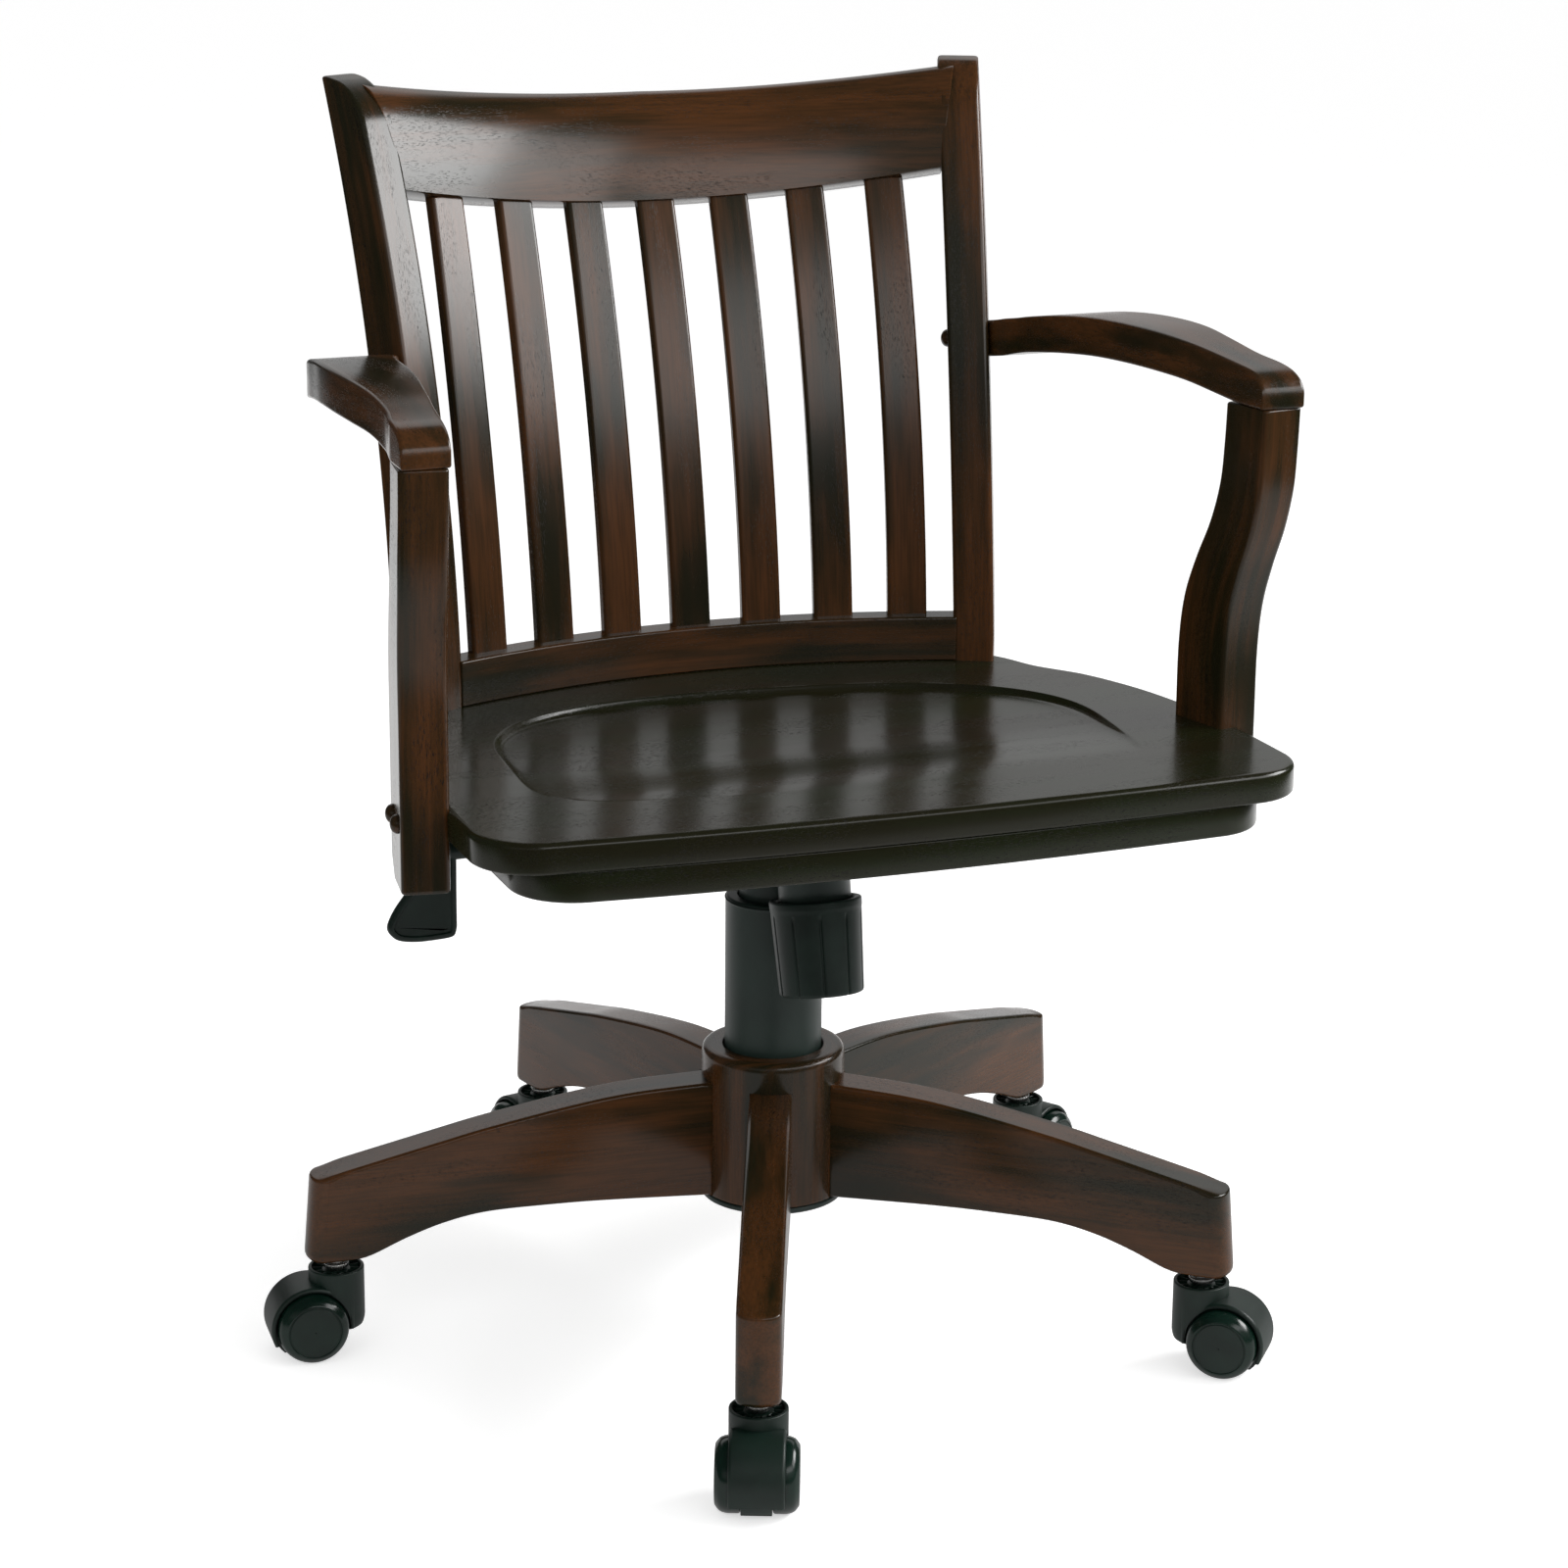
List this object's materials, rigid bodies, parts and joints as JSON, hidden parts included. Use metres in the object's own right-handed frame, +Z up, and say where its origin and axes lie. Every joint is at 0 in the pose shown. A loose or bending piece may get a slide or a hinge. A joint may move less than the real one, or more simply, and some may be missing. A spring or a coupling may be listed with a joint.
{
  "type": "office chair",
  "caption": "wooden swivel desk armchair with a slatted curved back, saddle seat, gas lift, tilt mechanism and a star base on twin-wheel casters",
  "frame": {"origin": "middle of the footprint on the floor, under the wheels", "axes": "+Z is up, the chair faces -Y, +X is to the right of someone who looks at its front"},
  "size_m": [0.6944, 0.706, 0.866],
  "materials": {
    "wood": "dark stain under satin lacquer",
    "black_plastic": "moulded, satin",
    "black_steel": "black paint, satin",
    "bright_steel": "bright zinc"
  },
  "bodies": {
    "base": {"base_hub": "wood", "hub_disc": "black_steel", "column_outer_tube": "black_steel", "column_guide_bush": "black_plastic", "piston_rod": "bright_steel", "leg_front": "wood", "leg_right": "wood", "leg_rear_right": "wood", "leg_rear_left": "wood", "leg_left": "wood", "caster_stem_front": "bright_steel", "caster_stem_right": "bright_steel", "caster_stem_rear_right": "bright_steel", "caster_stem_rear_left": "bright_steel", "caster_stem_left": "bright_steel"},
    "lift": {"gas_cylinder": "black_steel"},
    "swivel": {"tilt_housing": "black_steel", "tilt_pin": "bright_steel"},
    "tension_bolt": {"tension_bolt": "bright_steel", "tension_spring": "bright_steel"},
    "tension_knob": {"tension_knob": "black_plastic"},
    "lever": {"lever_rod": "black_steel", "lever_paddle": "black_plastic"},
    "caster_front": {"caster_hood_front": "black_plastic"},
    "wheel_front_a": {"caster_wheel_front_a": "black_plastic"},
    "wheel_front_b": {"caster_wheel_front_b": "black_plastic"},
    "caster_right": {"caster_hood_right": "black_plastic"},
    "wheel_right_a": {"caster_wheel_right_a": "black_plastic"},
    "wheel_right_b": {"caster_wheel_right_b": "black_plastic"},
    "caster_rear_right": {"caster_hood_rear_right": "black_plastic"},
    "wheel_rear_right_a": {"caster_wheel_rear_right_a": "black_plastic"},
    "wheel_rear_right_b": {"caster_wheel_rear_right_b": "black_plastic"},
    "caster_rear_left": {"caster_hood_rear_left": "black_plastic"},
    "wheel_rear_left_a": {"caster_wheel_rear_left_a": "black_plastic"},
    "wheel_rear_left_b": {"caster_wheel_rear_left_b": "black_plastic"},
    "caster_left": {"caster_hood_left": "black_plastic"},
    "wheel_left_a": {"caster_wheel_left_a": "black_plastic"},
    "wheel_left_b": {"caster_wheel_left_b": "black_plastic"},
    "seat": {"seat_slab": "wood", "seat_apron": "wood", "back_post_right": "wood", "back_post_left": "wood", "back_slat_1": "wood", "back_slat_2": "wood", "back_slat_3": "wood", "back_slat_4": "wood", "back_slat_5": "wood", "back_slat_6": "wood", "back_slat_7": "wood", "lower_back_rail": "wood", "crest_rail": "wood", "armrest_right": "wood", "armrest_left": "wood", "arm_post_right": "wood", "arm_post_left": "wood", "arm_bolt_right_front": "black_steel", "arm_bolt_left_front": "black_steel", "arm_bolt_right_rear": "black_steel", "arm_bolt_left_rear": "black_steel", "mounting_plate": "black_steel"}
  },
  "joints": [
    {"name": "gas_lift", "type": "slide", "parent": "base", "child": "lift", "axis": [0, 0, 1], "range_m": [0, 0.095]},
    {"name": "seat_swivel", "type": "hinge", "parent": "lift", "child": "swivel", "pos_m": [0.01993, -0.01002, 0.345], "axis": [0, 0, 1], "continuous": true},
    {"name": "seat_tilt", "type": "hinge", "parent": "swivel", "child": "seat", "pos_m": [0.01993, -0.04802, 0.366], "axis": [-1, 0, 0], "range_deg": [0, 10], "stiffness_Nm_per_rad": 120, "springref_deg": -14.32},
    {"name": "tension_rod_slide", "type": "slide", "parent": "swivel", "child": "tension_bolt", "axis": [0, 0.2079, 0.9781], "range_m": [0, 0.0025], "deforming": ["tension_spring"]},
    {"name": "tension_knob_turn", "type": "hinge", "parent": "tension_bolt", "child": "tension_knob", "pos_m": [0.01993, -0.08202, 0.332], "axis": [0, 0.2079, 0.9781], "range_deg": [0, 1080]},
    {"name": "lever_pull", "type": "hinge", "parent": "swivel", "child": "lever", "pos_m": [-0.00957, -0.01002, 0.367], "axis": [0, 1, 0], "range_deg": [0, 2.5], "stiffness_Nm_per_rad": 2},
    {"name": "caster_swivel_front", "type": "hinge", "parent": "base", "child": "caster_front", "pos_m": [-0.10941, -0.30053, 0.063], "axis": [0, 0, 1], "continuous": true},
    {"name": "wheel_spin_front_a", "type": "hinge", "parent": "caster_front", "child": "wheel_front_a", "pos_m": [-0.11754, -0.3188, 0.025], "axis": [0.9135, -0.4067, 0], "continuous": true},
    {"name": "wheel_spin_front_b", "type": "hinge", "parent": "caster_front", "child": "wheel_front_b", "pos_m": [-0.11754, -0.3188, 0.025], "axis": [0.9135, -0.4067, 0], "continuous": true},
    {"name": "caster_swivel_right", "type": "hinge", "parent": "base", "child": "caster_right", "pos_m": [0.25625, -0.2228, 0.063], "axis": [0, 0, 1], "continuous": true},
    {"name": "wheel_spin_right_a", "type": "hinge", "parent": "caster_right", "child": "wheel_right_a", "pos_m": [0.27112, -0.23619, 0.025], "axis": [0.6691, 0.7431, 0], "continuous": true},
    {"name": "wheel_spin_right_b", "type": "hinge", "parent": "caster_right", "child": "wheel_right_b", "pos_m": [0.27112, -0.23619, 0.025], "axis": [0.6691, 0.7431, 0], "continuous": true},
    {"name": "caster_swivel_rear_right", "type": "hinge", "parent": "base", "child": "caster_rear_right", "pos_m": [0.29533, 0.14898, 0.063], "axis": [0, 0, 1], "continuous": true},
    {"name": "wheel_spin_rear_right_a", "type": "hinge", "parent": "caster_rear_right", "child": "wheel_rear_right_a", "pos_m": [0.31265, 0.15898, 0.025], "axis": [-0.5, 0.866, 0], "continuous": true},
    {"name": "wheel_spin_rear_right_b", "type": "hinge", "parent": "caster_rear_right", "child": "wheel_rear_right_b", "pos_m": [0.31265, 0.15898, 0.025], "axis": [-0.5, 0.866, 0], "continuous": true},
    {"name": "caster_swivel_rear_left", "type": "hinge", "parent": "base", "child": "caster_rear_left", "pos_m": [-0.04618, 0.30103, 0.063], "axis": [0, 0, 1], "continuous": true},
    {"name": "wheel_spin_rear_left_a", "type": "hinge", "parent": "caster_rear_left", "child": "wheel_rear_left_a", "pos_m": [-0.05034, 0.32059, 0.025], "axis": [-0.9781, -0.2079, 0], "continuous": true},
    {"name": "wheel_spin_rear_left_b", "type": "hinge", "parent": "caster_rear_left", "child": "wheel_rear_left_b", "pos_m": [-0.05034, 0.32059, 0.025], "axis": [-0.9781, -0.2079, 0], "continuous": true},
    {"name": "caster_swivel_left", "type": "hinge", "parent": "base", "child": "caster_left", "pos_m": [-0.29632, 0.02322, 0.063], "axis": [0, 0, 1], "continuous": true},
    {"name": "wheel_spin_left_a", "type": "hinge", "parent": "caster_left", "child": "wheel_left_a", "pos_m": [-0.31622, 0.02531, 0.025], "axis": [-0.1045, -0.9945, 0], "continuous": true},
    {"name": "wheel_spin_left_b", "type": "hinge", "parent": "caster_left", "child": "wheel_left_b", "pos_m": [-0.31622, 0.02531, 0.025], "axis": [-0.1045, -0.9945, 0], "continuous": true}
  ],
  "couplings": [
    {"joint": "tension_rod_slide", "follows": "seat_tilt", "m_per_rad": 0.0134}
  ]
}
